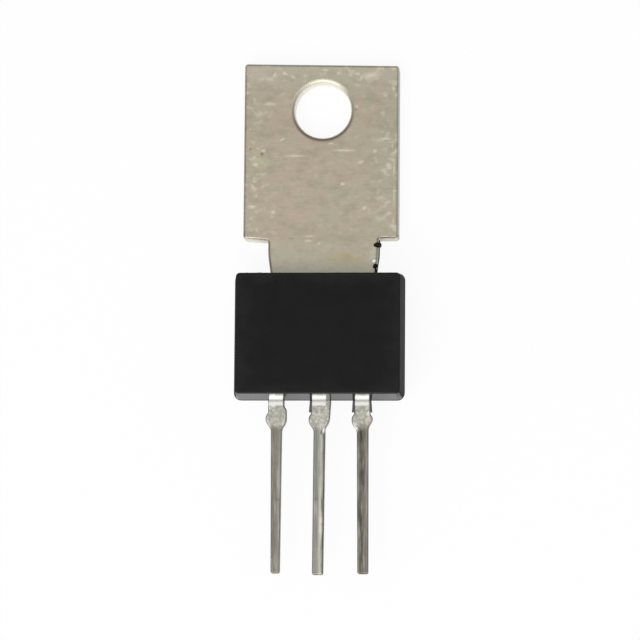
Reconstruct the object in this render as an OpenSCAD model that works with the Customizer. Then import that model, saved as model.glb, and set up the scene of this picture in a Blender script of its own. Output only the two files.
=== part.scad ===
// Power transistor in a moulded package with a thick mounting tab and three flat leads.
//
// One stamping of two gauges makes the tab, the pad that carries the chip and the middle lead.
// The chip is soldered to that pad, two aluminium wires run from it to the outer leads, and the
// epoxy body is moulded round all of them.
//
// The part lies on its back. X runs across the tab, +Y runs from the leads to the free end of the
// tab, and +Z comes out of the front face. The origin is on the axis of the mounting hole, in the
// back plane that the tab and the body share.

/* [Mounting tab] */
// Width of the tab
tab_w = 9.28; // [8.4:0.01:10]
// Distance of the tab's middle from the axis of the hole, because the blank lay a little to one side
tab_shift = -0.08; // [-0.2:0.01:0.2]
// Length of the tab from its free end to the foot of its ears
tab_l = 10.54; // [9:0.01:12]
// How much lower the foot of the left ear is beside the neck than at its outer corner
ear_drop = 0.12; // [0:0.01:0.2]
// Thickness of the heavy gauge, which is the tab, the neck and the chip's pad
tab_t = 1.27; // [1:0.01:1.4]
// Diameter of the mounting hole
hole_d = 3.35; // [2.8:0.05:3.6]
// Distance from the axis of the hole to the free end
hole_to_end = 2.77; // [2.4:0.01:3.2]
// Angle by which the sheared free end is out of square
end_skew = 1; // [0:0.1:2]
// Radius that the punch leaves along the front edges
die_roll = 0.17; // [0.05:0.01:0.2]
// Radius that the punch leaves round the front rim of the hole
hole_roll = 0.2; // [0.05:0.01:0.25]

/* [Neck and chip pad] */
// Width of the neck below the ears
neck_w = 6.6; // [5.8:0.05:7.2]
// Width of the neck and of the pad where they are in the body
neck_foot_w = 6.1; // [5.6:0.05:6.8]
// Length of the neck between the ears and the body
neck_l = 2.29; // [1.5:0.01:3]
// Length of the neck that keeps its full width, before it narrows towards the body
neck_straight = 1; // [0.5:0.05:1.4]
// Distance of the neck's middle from the axis of the hole, because the ears are trimmed unevenly
neck_shift = 0.08; // [0:0.01:0.3]
// Length of the pad inside the body
pad_l = 4.9; // [4.2:0.1:5]
// Radius of the round notch in each side of the pad, which locks it in the epoxy
pad_notch_r = 0.35; // [0.2:0.05:0.5]

/* [Moulded body] */
// Width of the body at its parting line
body_w = 10.08; // [9.6:0.01:10.4]
// Height of the body at its parting line, from the neck to the leads
body_h = 7.56; // [7.2:0.01:7.8]
// Thickness of the body
body_t = 4.57; // [4.3:0.01:4.8]
// Draft angle of all four sides, on both halves of the mould
draft = 6; // [3:0.5:7]
// Radius of the upright corners at the parting line
corner_r = 0.45; // [0.42:0.01:0.8]
// Size of the softened rim round the front face
rim_soft = 0.08; // [0.03:0.01:0.1]
// Diameter of the two ejector marks on the back
ejector_d = 1.3; // [0.8:0.1:1.4]
// Depth of the ejector marks
ejector_depth = 0.06; // [0.03:0.01:0.1]
// Distance of each ejector mark from the body's side and foot
ejector_inset = 1.25; // [1.2:0.05:1.4]
// Width of the scar where the runner was broken off, on the end beside the neck
gate_w = 1.1; // [0.6:0.1:1.3]
// How far that scar stands proud
gate_proud = 0.06; // [0.03:0.01:0.1]
// How far the flash on the right side of the neck stands out from it
flash_proud = 0.1; // [0.05:0.01:0.15]
// Thickness of that flash where it lies on the front of the neck
flash_film = 0.03; // [0.02:0.01:0.05]
// Width of the patches of flash on the front of the neck
flash_patch = 0.36; // [0.2:0.01:0.5]

/* [Leads] */
// Distance between neighbouring leads
lead_pitch = 2.54; // [2.4:0.01:2.7]
// Length of the leads from the body to their tips
lead_l = 10.23; // [8:0.01:14]
// How much shorter the emitter lead was cut
emitter_trim = 0.08; // [0:0.01:0.3]
// How much shorter the base lead was cut
base_trim = 0.06; // [0:0.01:0.3]
// Width of the emitter lead where its straight part begins
emitter_w = 0.65; // [0.5:0.01:0.8]
// Width of the collector lead where its straight part begins
collector_w = 0.69; // [0.5:0.01:0.8]
// Width of the base lead where its straight part begins
base_w = 0.68; // [0.5:0.01:0.8]
// Width of the emitter lead at its tip
emitter_tip_w = 0.53; // [0.5:0.01:0.7]
// Width of the collector lead at its tip
collector_tip_w = 0.65; // [0.5:0.01:0.7]
// Width of the base lead at its tip
base_tip_w = 0.64; // [0.5:0.01:0.7]
// Thickness of the light gauge, which is all three leads
lead_t = 0.51; // [0.4:0.01:0.6]
// Height of the back of the leads above the back plane
lead_z = 2.14; // [1.9:0.01:2.3]
// Width of a lead's shoulder where it leaves the body
shoulder_w = 0.95; // [0.9:0.01:1.12]
// Length of the emitter lead's shoulder on its left side, from the body to the dam bar's stub
emitter_left_l = 0.75; // [0.1:0.05:0.85]
// Length of the emitter lead's shoulder on its right side
emitter_right_l = 0.35; // [0.1:0.05:0.85]
// Length of the collector lead's shoulder on its left side
collector_left_l = 0.8; // [0.1:0.05:0.85]
// Length of the collector lead's shoulder on its right side
collector_right_l = 0.1; // [0.1:0.05:0.85]
// Length of the base lead's shoulder on its left side
base_left_l = 0.8; // [0.1:0.05:0.85]
// Length of the base lead's shoulder on its right side
base_right_l = 0.8; // [0.1:0.05:0.85]
// Width over the stubs of the cut-off dam bar
stub_w = 1.24; // [1.16:0.01:1.5]
// Length of the slope from a shoulder out to its stub
stub_slope = 0.15; // [0.05:0.01:0.2]
// Distance from the body to the end of the stubs
stub_end = 1.26; // [1.2:0.01:1.6]
// How much further out the left stub of the collector lead ends than the middle of its two stubs
collector_skew = 0.05; // [0:0.01:0.15]
// How much further out the left stub of the base lead ends than the middle of its two stubs
base_skew = 0.1; // [0:0.01:0.15]
// Length of the taper from the stubs to the straight part
taper_l = 0.42; // [0.2:0.01:0.8]
// How far the straight part stands to the right of the shoulder's middle
shaft_shift = 0.025; // [0:0.005:0.05]
// Angle by which the emitter lead leans, positive towards the base lead
emitter_lean = 0; // [-1:0.1:1]
// Angle by which the collector lead leans, positive towards the base lead
collector_lean = -0.35; // [-1:0.05:1]
// Angle by which the base lead leans, positive away from the other leads
base_lean = 0.4; // [-1:0.1:1]
// How much of a shoulder's length keeps moulding flash on its side
flash_share = 0.85; // [0.2:0.05:1]

/* [Bonding posts] */
// Length of a bonding post inside the body
post_l = 1.3; // [1:0.05:1.5]
// Epoxy between a post and the foot of the body
post_cover = 0.7; // [0.6:0.05:0.8]
// Epoxy between a post and the side of the body
post_wall = 1.1; // [1:0.05:1.3]
// Gap between a post and the collector lead
post_gap = 0.55; // [0.4:0.05:0.65]
// Diameter of the hole in a post that locks it in the epoxy
post_hole_d = 0.5; // [0.3:0.05:0.55]
// Straight length of the collector lead before its rise
joggle_lead_in = 0.2; // [0.1:0.05:0.3]
// Length along Y of the collector lead's rise from the pad to the plane of the leads
joggle_run = 1; // [0.8:0.05:1.1]

/* [Chip and bond wires] */
// Side of the square chip
die_w = 2; // [1.6:0.1:2.6]
// Thickness of the chip
die_t = 0.25; // [0.2:0.01:0.35]
// Thickness of the solder under the chip
solder_t = 0.05; // [0.03:0.01:0.1]
// How far the solder shows round the chip
solder_rim = 0.12; // [0.05:0.01:0.25]
// Diameter of the bond wires
wire_d = 0.2; // [0.12:0.01:0.25]
// Rise of a wire's loop above the straight line between its feet
wire_rise = 0.85; // [0.5:0.05:1]
// Length of the flattened foot at each end of a wire
foot_l = 0.45; // [0.35:0.05:0.55]
// Distance of each wire's foot on the chip from the middle of the chip, across the part
bond_spread = 0.45; // [0.3:0.05:0.5]

/* [Hidden] */

$fn = 48;
// Overshoot that keeps a cut clear of the face it starts from
over = 0.05;

// Colours of the real materials
tinned_copper = [0.68, 0.64, 0.57];
lead_tin = [0.70, 0.70, 0.66];
silicon = [0.35, 0.37, 0.42];
solder_grey = [0.60, 0.61, 0.62];
aluminium = [0.80, 0.81, 0.82];
black_epoxy = [0.12, 0.12, 0.12];

// Places along Y
end_y = hole_to_end;
ear_y = end_y - tab_l;
body_top = ear_y - neck_l;
body_foot = body_top - body_h;
neck_root = body_top - corner_r;
pad_foot = body_top - pad_l;
pad_mid = (body_top + pad_foot) / 2;
stub_foot = body_foot - stub_end;
taper_foot = stub_foot - taper_l;
tip_y = body_foot - lead_l;
post_foot = body_foot + post_cover;
post_top = post_foot + post_l;
post_mid = (post_top + post_foot) / 2;

// Places along X
post_in = shoulder_w / 2 + post_gap;
post_out = body_w / 2 - post_wall;

// Heights
parting_z = lead_z + lead_t;
die_z = tab_t + solder_t;
die_top = die_z + die_t;

// Outline of the heavy gauge, anticlockwise from the foot of the left ear
end_rise = tan(end_skew) * tab_w / 2;
neck_half = neck_w / 2;
foot_half = neck_foot_w / 2;
bend_y = ear_y - neck_straight;
plate = [
    [tab_shift - tab_w / 2, ear_y],
    [neck_shift - neck_half, ear_y - ear_drop],
    [neck_shift - neck_half, bend_y],
    [neck_shift - foot_half, neck_root],
    [neck_shift - foot_half, pad_foot],
    [neck_shift + foot_half, pad_foot],
    [neck_shift + foot_half, neck_root],
    [neck_shift + neck_half, bend_y],
    [neck_shift + neck_half, ear_y],
    [tab_shift + tab_w / 2, ear_y],
    [tab_shift + tab_w / 2, end_y - end_rise],
    [tab_shift - tab_w / 2, end_y + end_rise]
];
// Edges of that outline that are in the open, by the point each one starts from
open_edges = [0, 1, 2, 6, 7, 8, 9, 10, 11];
// Points of that outline where two open edges meet in an inner corner
inner_corners = [1, 8];
// Points of that outline at the middle of the pad's sides
pad_corners = [4, 5];

// ---- Shared shapes ----

// Section that rounds a front edge by radius r: the metal is at u > 0 and its front face at v = r
module roll_section(r) {
    difference() {
        translate([-over, 0]) square([r + over, r + over]);
        translate([r, 0]) circle(r = r);
    }
}

// Rounds the front edge from p to q, with the metal to the left of that direction
module roll_edge(p, q) {
    run = q - p;
    translate([p.x, p.y, tab_t - die_roll])
        rotate([0, 0, atan2(run.y, run.x)])
            rotate([90, 0, 90])
                linear_extrude(norm(run))
                    roll_section(die_roll);
}

// Carries the rounding past the inner corner at p
module roll_corner(p) {
    translate([p.x, p.y, tab_t - die_roll])
        rotate_extrude()
            intersection() {
                roll_section(die_roll);
                square(2 * die_roll);
            }
}

// Mounting hole with the rounded rim that the punch leaves on the front
module mounting_hole() {
    translate([0, 0, -over]) cylinder(d = hole_d, h = tab_t + 2 * over);
    translate([0, 0, tab_t - hole_roll])
        rotate_extrude()
            translate([hole_d / 2, 0])
                intersection() {
                    roll_section(hole_roll);
                    square(2 * hole_roll);
                }
}

// Plan of a lead from y_top to its tip: shoulders are the lengths of its two shoulders, widths are
// those of its straight part at both ends, skew moves the left stub's end out and the right one's in
module lead_plan(x, y_top, shoulders, skew, widths, lean, trim) {
    end = tip_y + trim;
    shaft = x + shaft_shift;
    shift = tan(lean) * (taper_foot - end);
    polygon([
        [x - shoulder_w / 2, y_top],
        [x - shoulder_w / 2, body_foot - shoulders[0]],
        [x - stub_w / 2, body_foot - shoulders[0] - stub_slope],
        [x - stub_w / 2, stub_foot - skew],
        [shaft - widths[0] / 2, taper_foot - skew],
        [shaft - widths[1] / 2 + shift, end],
        [shaft + widths[1] / 2 + shift, end],
        [shaft + widths[0] / 2, taper_foot + skew],
        [x + stub_w / 2, stub_foot + skew],
        [x + stub_w / 2, body_foot - shoulders[1] - stub_slope],
        [x + shoulder_w / 2, body_foot - shoulders[1]],
        [x + shoulder_w / 2, y_top]
    ]);
}

// Outer lead with its bonding post; side is -1 for the left one and 1 for the right one
module outer_lead(side, shoulders, skew, widths, lean, trim) {
    translate([0, 0, lead_z])
        linear_extrude(lead_t)
            difference() {
                union() {
                    lead_plan(side * lead_pitch, post_mid, shoulders, skew, widths, lean, trim);
                    translate([side > 0 ? post_in : -post_out, post_foot])
                        square([post_out - post_in, post_l]);
                }
                translate([side * (post_out - post_hole_d), post_mid]) circle(d = post_hole_d);
            }
}

// Side view of the collector lead: level with the pad's face, up a slope, then straight
module collector_side() {
    rise = parting_z - tab_t;
    start = pad_foot + lead_t;
    bend = pad_foot - joggle_lead_in;
    level = bend - joggle_run;
    mitre = lead_t * tan(atan2(rise, joggle_run) / 2);
    polygon([
        [start, tab_t],
        [bend, tab_t],
        [level, parting_z],
        [tip_y, parting_z],
        [tip_y, lead_z],
        [level - mitre, lead_z],
        [bend - mitre, tab_t - lead_t],
        [start, tab_t - lead_t]
    ]);
}

// Drafted slab with upright corners that are true cones: the walls lean in by inset_low at z_low
// and by inset_high at z_high, both measured from the outline at the parting line
module drafted_slab(z_low, z_high, inset_low, inset_high) {
    half_w = body_w / 2;
    half_h = body_h / 2;
    r_low = corner_r - inset_low;
    r_high = corner_r - inset_high;
    translate([0, (body_top + body_foot) / 2, 0]) {
        rotate([90, 0, 0])
            linear_extrude(body_h - 2 * corner_r, center = true)
                polygon([[-half_w + inset_low, z_low], [half_w - inset_low, z_low],
                         [half_w - inset_high, z_high], [-half_w + inset_high, z_high]]);
        rotate([90, 0, 90])
            linear_extrude(body_w - 2 * corner_r, center = true)
                polygon([[-half_h + inset_low, z_low], [half_h - inset_low, z_low],
                         [half_h - inset_high, z_high], [-half_h + inset_high, z_high]]);
        for (sx = [-1, 1], sy = [-1, 1])
            translate([sx * (half_w - corner_r), sy * (half_h - corner_r), z_low])
                cylinder(r1 = r_low, r2 = r_high, h = z_high - z_low);
    }
}

// The epoxy block before the metal is taken out of it
module body_block() {
    back_inset = tan(draft) * parting_z;
    front_z = body_t - rim_soft;
    front_inset = tan(draft) * (front_z - parting_z);
    drafted_slab(0, parting_z, back_inset, 0);
    drafted_slab(parting_z, front_z, 0, front_inset);
    drafted_slab(front_z, body_t, front_inset, front_inset + rim_soft);
}

// Flash beside a lead's shoulder of length l, on its left for side -1 and on its right for side 1
module shoulder_flash(x, side, l) {
    flash_l = l * flash_share;
    translate([side < 0 ? x - stub_w / 2 : x, body_foot - flash_l, lead_z])
        cube([stub_w / 2, flash_l + corner_r, lead_t]);
}

// Flash that crept along the right side of the neck and set in the corner under the ear
module neck_flash() {
    side = neck_shift + neck_half;
    foot = neck_shift + foot_half;
    low = tab_t / 4;
    translate([0, 0, low])
        linear_extrude(tab_t - low)
            polygon([[foot, neck_root], [side, neck_root], [side + flash_proud, ear_y],
                     [side, ear_y], [foot, bend_y]]);
    translate([0, 0, tab_t - die_roll])
        linear_extrude(die_roll + flash_film) {
            polygon([[side - flash_patch, ear_y - 0.5], [side - flash_patch, ear_y - 0.4],
                     [side + flash_proud, ear_y - 0.2], [side + flash_proud, ear_y - 0.45]]);
            polygon([[side - flash_patch, bend_y - 0.8], [side - flash_patch, bend_y - 0.5],
                     [side, bend_y - 0.5], [side, bend_y - 0.8]]);
        }
}

// Scar of the runner on the end beside the neck, on the back half just under the parting line
module gate_scar() {
    scar_h = (parting_z - tab_t) / 2;
    x_out = body_w / 2 - corner_r;
    translate([-x_out, body_top - corner_r, parting_z - scar_h])
        cube([gate_w, corner_r + gate_proud, scar_h]);
}

// Bond wire from the chip to a post: a round loop in the upright plane through both feet
module bond_wire(side) {
    foot_h = wire_d * 0.6;
    ball_d = wire_d * 1.15;
    from = [side * bond_spread, pad_mid - die_w / 4, die_top + foot_h];
    to = [side * (post_in + foot_l), post_mid, parting_z + foot_h];
    flat = norm([to.x - from.x, to.y - from.y]);
    climb = to.z - from.z;
    span = norm([flat, climb]);
    heading = atan2(to.y - from.y, to.x - from.x);
    slope = atan2(climb, flat);
    loop_r = (span * span / 4 + wire_rise * wire_rise) / (2 * wire_rise);
    half_sweep = asin(span / 2 / loop_r);
    translate(from)
        rotate([0, 0, heading])
            rotate([0, -slope, 0])
                translate([span / 2, 0, wire_rise - loop_r])
                    rotate([90, 0, 0])
                        rotate([0, 0, 90 - half_sweep])
                            rotate_extrude(angle = 2 * half_sweep)
                                translate([loop_r, 0]) circle(d = wire_d);
    for (foot = [from, to])
        translate(foot) {
            sphere(d = ball_d);
            rotate([0, 0, heading])
                translate([-foot_l / 2, -wire_d * 0.65, -foot_h])
                    cube([foot_l, wire_d * 1.3, foot_h]);
        }
}

// ---- Sub-parts ----

module collector_frame() {
    color(tinned_copper)
        union() {
            difference() {
                linear_extrude(tab_t) polygon(plate);
                mounting_hole();
                for (i = open_edges) roll_edge(plate[i], plate[(i + 1) % len(plate)]);
                for (i = inner_corners) roll_corner(plate[i]);
                for (i = pad_corners)
                    translate([plate[i].x, pad_mid, -over])
                        cylinder(r = pad_notch_r, h = tab_t + 2 * over);
            }
            intersection() {
                rotate([90, 0, 90])
                    linear_extrude(stub_w + lead_l, center = true)
                        collector_side();
                linear_extrude(body_t)
                    lead_plan(0, pad_foot + lead_t, [collector_left_l, collector_right_l],
                              collector_skew, [collector_w, collector_tip_w], collector_lean, 0);
            }
        }
}

module emitter_lead() {
    color(lead_tin)
        outer_lead(-1, [emitter_left_l, emitter_right_l], 0, [emitter_w, emitter_tip_w], emitter_lean,
                   emitter_trim);
}

module base_lead() {
    color(lead_tin)
        outer_lead(1, [base_left_l, base_right_l], base_skew, [base_w, base_tip_w], base_lean, base_trim);
}

module silicon_die() {
    color(silicon)
        translate([0, pad_mid, die_z + die_t / 2])
            cube([die_w, die_w, die_t], center = true);
}

module die_solder() {
    solder_w = die_w + 2 * solder_rim;
    color(solder_grey)
        translate([0, pad_mid, tab_t + solder_t / 2])
            cube([solder_w, solder_w, solder_t], center = true);
}

module emitter_wire() {
    color(aluminium) bond_wire(-1);
}

module base_wire() {
    color(aluminium) bond_wire(1);
}

module moulded_body() {
    color(black_epoxy)
        difference() {
            union() {
                body_block();
                gate_scar();
                neck_flash();
                shoulder_flash(0, -1, collector_left_l);
                shoulder_flash(lead_pitch, -1, base_left_l);
                shoulder_flash(lead_pitch, 1, base_right_l);
            }
            collector_frame();
            emitter_lead();
            base_lead();
            silicon_die();
            die_solder();
            emitter_wire();
            base_wire();
            for (side = [-1, 1])
                translate([side * (body_w / 2 - ejector_inset), body_foot + ejector_inset, -over])
                    cylinder(d = ejector_d, h = ejector_depth + over);
        }
}

collector_frame();
emitter_lead();
base_lead();
silicon_die();
die_solder();
emitter_wire();
base_wire();
moulded_body();
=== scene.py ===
# %% [markdown]
# # A power transistor on a pale table
#
# The part is a thick metal tab with a hole, a black moulded block and three flat leads. It lies on
# its back. The imported solids give every size. This script dresses them: it rebuilds the metal and the
# block as meshes with true small edges, and gives each surface the finish of its real process.
#
# The frame comes first, because every later step measures it.

# %% Load the frame
import math
from functools import partial

import bmesh
import bpy
from mathutils import Matrix, Vector, noise


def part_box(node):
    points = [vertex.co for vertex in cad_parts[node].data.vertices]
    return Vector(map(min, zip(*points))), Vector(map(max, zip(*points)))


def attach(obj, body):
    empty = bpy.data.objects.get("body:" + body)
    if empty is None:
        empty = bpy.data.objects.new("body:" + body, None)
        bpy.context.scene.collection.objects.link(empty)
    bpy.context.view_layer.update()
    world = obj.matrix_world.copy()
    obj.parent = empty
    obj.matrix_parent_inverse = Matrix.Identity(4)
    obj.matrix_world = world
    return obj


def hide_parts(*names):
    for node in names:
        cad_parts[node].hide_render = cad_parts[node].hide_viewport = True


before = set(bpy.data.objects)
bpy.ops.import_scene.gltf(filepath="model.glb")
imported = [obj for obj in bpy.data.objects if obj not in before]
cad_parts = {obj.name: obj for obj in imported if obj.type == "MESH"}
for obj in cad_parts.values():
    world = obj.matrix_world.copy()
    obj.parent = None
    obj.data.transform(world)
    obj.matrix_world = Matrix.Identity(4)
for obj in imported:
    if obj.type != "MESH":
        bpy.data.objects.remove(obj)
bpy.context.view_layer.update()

MM = 0.001
print("frame nodes:", sorted(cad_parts))

# %% [markdown]
# ## Sizes from the frame
#
# Small parts are easiest to model in millimetres, because Blender's bevel has limits that are fixed
# in scene units, and a bevel of a few hundredths of a millimetre in metres would fall under them. So
# each mesh is made in millimetres and shrunk to metres when it is finished.
#
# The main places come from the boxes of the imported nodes. What a box can't give, such as the draft
# of the block, is named here once, with the value that the solids have. Two things are finer than in
# the solids: the roll round the hole, which is wider than it is deep, and the right stub of the
# middle lead, which stands out further and starts inside the block.

# %% Sizes from the frame


def node_box(name):
    """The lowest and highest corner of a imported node, in mm."""
    low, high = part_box(name)
    return low / MM, high / MM


frame_low, frame_high = node_box("collector_frame")
body_high = node_box("moulded_body")[1]
base_low, base_high = node_box("base_lead")

TAB_LEFT, TAB_RIGHT = frame_low.x, frame_high.x
TAB_T = node_box("die_solder")[0].z
LEAD_BACK = base_low.z
PARTING = base_high.z
LEAD_T = PARTING - LEAD_BACK
BODY_HALF = body_high.x
BODY_FRONT = body_high.z

# The tab: its length, how far its free end is out of square, how much lower its left ear ends beside
# the neck, and the radius that the die leaves along its front edges.
TAB_L = 10.54
END_SKEW = math.radians(1.0)
EAR_DROP = 0.12
DIE_ROLL = 0.17
# The hole: its radius, and the width and depth of the roll round its front rim.
HOLE_R = 1.675
HOLE_ROLL = 0.27
HOLE_DIP = 0.15
# The neck keeps its width at first and then narrows to its foot. The pad goes on inside the block.
NECK_L = 2.29
NECK_STRAIGHT = 1.0
NECK_SHIFT = 0.08
NECK_HALF = 3.3
FOOT_HALF = 3.05
PAD_L = 4.9
# The block: its height and the radius of its corners at the parting line, and the slope of its walls.
BODY_H = 7.56
CORNER_R = 0.45
DRAFT = math.tan(math.radians(6))
# The leads: a shoulder, a slope out to the stubs of the cut-off dam bar, and a taper to the leg.
LEAD_PITCH = 2.54
SHOULDER_W = 0.95
STUB_HALF = 0.62
STUB_SLOPE = 0.15
STUB_END = 1.26
TAPER_L = 0.42
SHAFT_SHIFT = 0.025
# Each lead: its middle, the lengths of its left and right shoulder, how far its two stubs stand out,
# how much further the left stub reaches down, the leg's width at its top and tip, and its lean in
# degrees. A shoulder of less than 0 ends inside the block.
LEADS = {
    "emitter_lead": {"x": -LEAD_PITCH, "shoulders": (0.75, 0.35), "stubs": (STUB_HALF, STUB_HALF),
                     "skew": 0.0, "widths": (0.65, 0.53), "lean": 0.0},
    "collector": {"x": 0.0, "shoulders": (0.8, -0.2), "stubs": (STUB_HALF, 0.7),
                  "skew": 0.05, "widths": (0.69, 0.65), "lean": -0.35},
    "base_lead": {"x": LEAD_PITCH, "shoulders": (0.8, 0.8), "stubs": (STUB_HALF, STUB_HALF),
                  "skew": 0.1, "widths": (0.68, 0.64), "lean": 0.4},
}

END_RISE = math.tan(END_SKEW) * (TAB_RIGHT - TAB_LEFT) / 2
END_Y = frame_high.y - END_RISE
EAR_Y = END_Y - TAB_L
BEND_Y = EAR_Y - NECK_STRAIGHT
BODY_TOP = EAR_Y - NECK_L
BODY_MID = BODY_TOP - BODY_H / 2
BODY_FOOT = BODY_TOP - BODY_H
NECK_ROOT = BODY_TOP - CORNER_R
PAD_FOOT = BODY_TOP - PAD_L
STUB_FOOT = BODY_FOOT - STUB_END
TAPER_FOOT = STUB_FOOT - TAPER_L
print("tab from", round(EAR_Y, 2), "to", round(END_Y, 2), "mm, block from", round(BODY_FOOT, 2),
      "to", round(BODY_TOP, 2), "mm, tips at", round(frame_low.y, 2), "mm")

# %% [markdown]
# ## Camera
#
# The camera looks down on the front of the part, a little from the side of the leads and a little
# from the right. A long lens from 200 mm away keeps the view nearly free of perspective. It looks at
# the middle of the part, so no lens shift is needed. Its axes are built as three vectors, which makes
# the small roll easy to add.

# %% Camera
CAMERA_DISTANCE = 200 * MM
LENS = 190.1
SENSOR = 36
YAW = math.radians(3.9)
PITCH = math.radians(7.2)
ROLL = math.radians(0.45)
LOOK_AT = Vector((-0.03, -12.76, 2.0)) * MM

towards = Vector((math.sin(YAW) * math.cos(PITCH), -math.sin(PITCH), math.cos(YAW) * math.cos(PITCH)))
level_right = Vector((0, 1, 0)).cross(towards).normalized()
level_up = towards.cross(level_right)
right = level_right * math.cos(ROLL) + level_up * math.sin(ROLL)
up = level_up * math.cos(ROLL) - level_right * math.sin(ROLL)

camera_data = bpy.data.cameras.new("camera")
camera_data.lens = LENS
camera_data.sensor_width = SENSOR
camera_data.clip_start = 10 * MM
camera_data.clip_end = 5
camera = bpy.data.objects.new("camera", camera_data)
bpy.context.scene.collection.objects.link(camera)
turn = Matrix((right, up, towards)).transposed()
camera.matrix_world = Matrix.Translation(LOOK_AT + towards * CAMERA_DISTANCE) @ turn.to_4x4()
bpy.context.scene.camera = camera
print("camera at", [round(v / MM, 1) for v in camera.location], "mm")

# %% [markdown]
# ## Helpers for materials
#
# Colours are written as sRGB hex values, as a paint chart gives them, and one function turns them
# into the linear values that the shader wants. Another adds any node with its settings and links. A
# material is then a stack: a base colour, and over it layers that each have a mask and a colour of
# their own. Patterns are placed by Object coordinates in millimetres, so their sizes are real ones.

# %% Helpers for materials
MICRON = MM / 1000


def linear(hex_colour):
    """The linear colour of an sRGB hex value."""
    channels = [int(hex_colour[i:i + 2], 16) / 255 for i in (1, 3, 5)]
    return (*[c / 12.92 if c <= 0.04045 else ((c + 0.055) / 1.055) ** 2.4 for c in channels], 1.0)


def add_node(tree, kind, inputs=(), stops=(), **settings):
    """Adds one node, with its settings, the stops of its ramp and its inputs.

    inputs is a list for the sockets in use, in their order, or a dict by name. A value is a number, a
    vector, a hex colour, an output, or a node, which stands for its first output in use.
    """
    made = tree.nodes.new("ShaderNode" + kind)
    for key, value in settings.items():
        setattr(made, key, value)
    if stops:
        elements = made.color_ramp.elements
        while len(elements) < len(stops):
            elements.new(0.5)
        for element, (place, colour) in zip(elements, stops):
            element.position = place
            element.color = linear(colour)
    if not isinstance(inputs, dict):
        inputs = dict(zip([i for i, socket in enumerate(made.inputs) if socket.enabled], inputs))
    for key, value in inputs.items():
        if isinstance(value, bpy.types.Node):
            value = next(socket for socket in value.outputs if socket.enabled)
        if isinstance(value, bpy.types.NodeSocket):
            tree.links.new(value, made.inputs[key])
        else:
            made.inputs[key].default_value = linear(value) if isinstance(value, str) else value
    return made


def new_material(name):
    """An empty material, and add_node for its tree, which the patterns below are given as add."""
    material = bpy.data.materials.new(name)
    material.use_nodes = True
    material.node_tree.nodes.clear()
    return material, partial(add_node, material.node_tree)


def place_in_mm(add):
    """The place of a spot on the piece, in mm."""
    place = add("TexCoord").outputs["Object"]
    return add("Mapping", {"Vector": place, "Scale": (1 / MM, 1 / MM, 1 / MM)})


def grain(add, spot, size_mm, stretch=(1, 1, 1), detail=2):
    """Noise whose blotches are about size_mm across, drawn out along the axes by stretch."""
    scale = [1 / (size_mm * s) for s in stretch]
    placed = add("Mapping", {"Vector": spot, "Scale": scale})
    return add("TexNoise", {"Vector": placed, "Scale": 1.0, "Detail": detail})


def lay_over(add, colour, layers):
    """The colour under a stack of layers, each a mask from 0 to 1 and the colour it brings."""
    for mask, tone in layers:
        colour = add("Mix", [mask, colour, tone], data_type="RGBA")
    return colour


print("material helpers ready, colours like", [round(v, 3) for v in linear("#B2A594")])

# %% [markdown]
# ## Marks
#
# Some marks sit at one place: a rub, a pit, a tint of the bath. Each is a flat ellipse that fades at
# its edge. A clean ellipse looks painted on, so the place that it reads is first moved about by fine
# noise, and its outline turns ragged. A row of a table gives one mark: its middle and its half sizes
# in mm, and its turn in degrees.

# %% Marks


def ellipse(add, spot, centre, radii, turn_deg, softness):
    """1 inside a flat ellipse in the XY plane, falling softly to 0 at its edge."""
    moved = add("VectorMath", [spot, (-centre[0], -centre[1], 0)], operation="ADD")
    turned = add("Mapping", {"Vector": moved, "Rotation": (0, 0, -math.radians(turn_deg))})
    sized = add("VectorMath", [turned, (1 / radii[0], 1 / radii[1], 0)], operation="MULTIPLY")
    out = add("VectorMath", [sized], operation="LENGTH")
    return add("MapRange", [out, 1.0, 1.0 - softness])


def all_marks(add, spot, rows, softness):
    """1 inside any mark of a table."""
    total = 0.0
    for row in rows:
        mark = ellipse(add, spot, *row, softness)
        total = add("Math", [total, mark], operation="MAXIMUM")
    return total


def ragged(add, spot, size_mm, reach_mm):
    """The same place moved about by noise, so that a mark drawn there gets an uneven outline."""
    scaled = add("VectorMath", [spot, 1 / size_mm], operation="SCALE")
    cloud = add("TexNoise", {"Vector": scaled, "Scale": 1.0, "Detail": 2.0})
    centred = add("VectorMath", [cloud.outputs["Color"], (-0.5, -0.5, -0.5)], operation="ADD")
    push = add("VectorMath", [centred, reach_mm], operation="SCALE")
    return add("VectorMath", [spot, push], operation="ADD")
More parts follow.
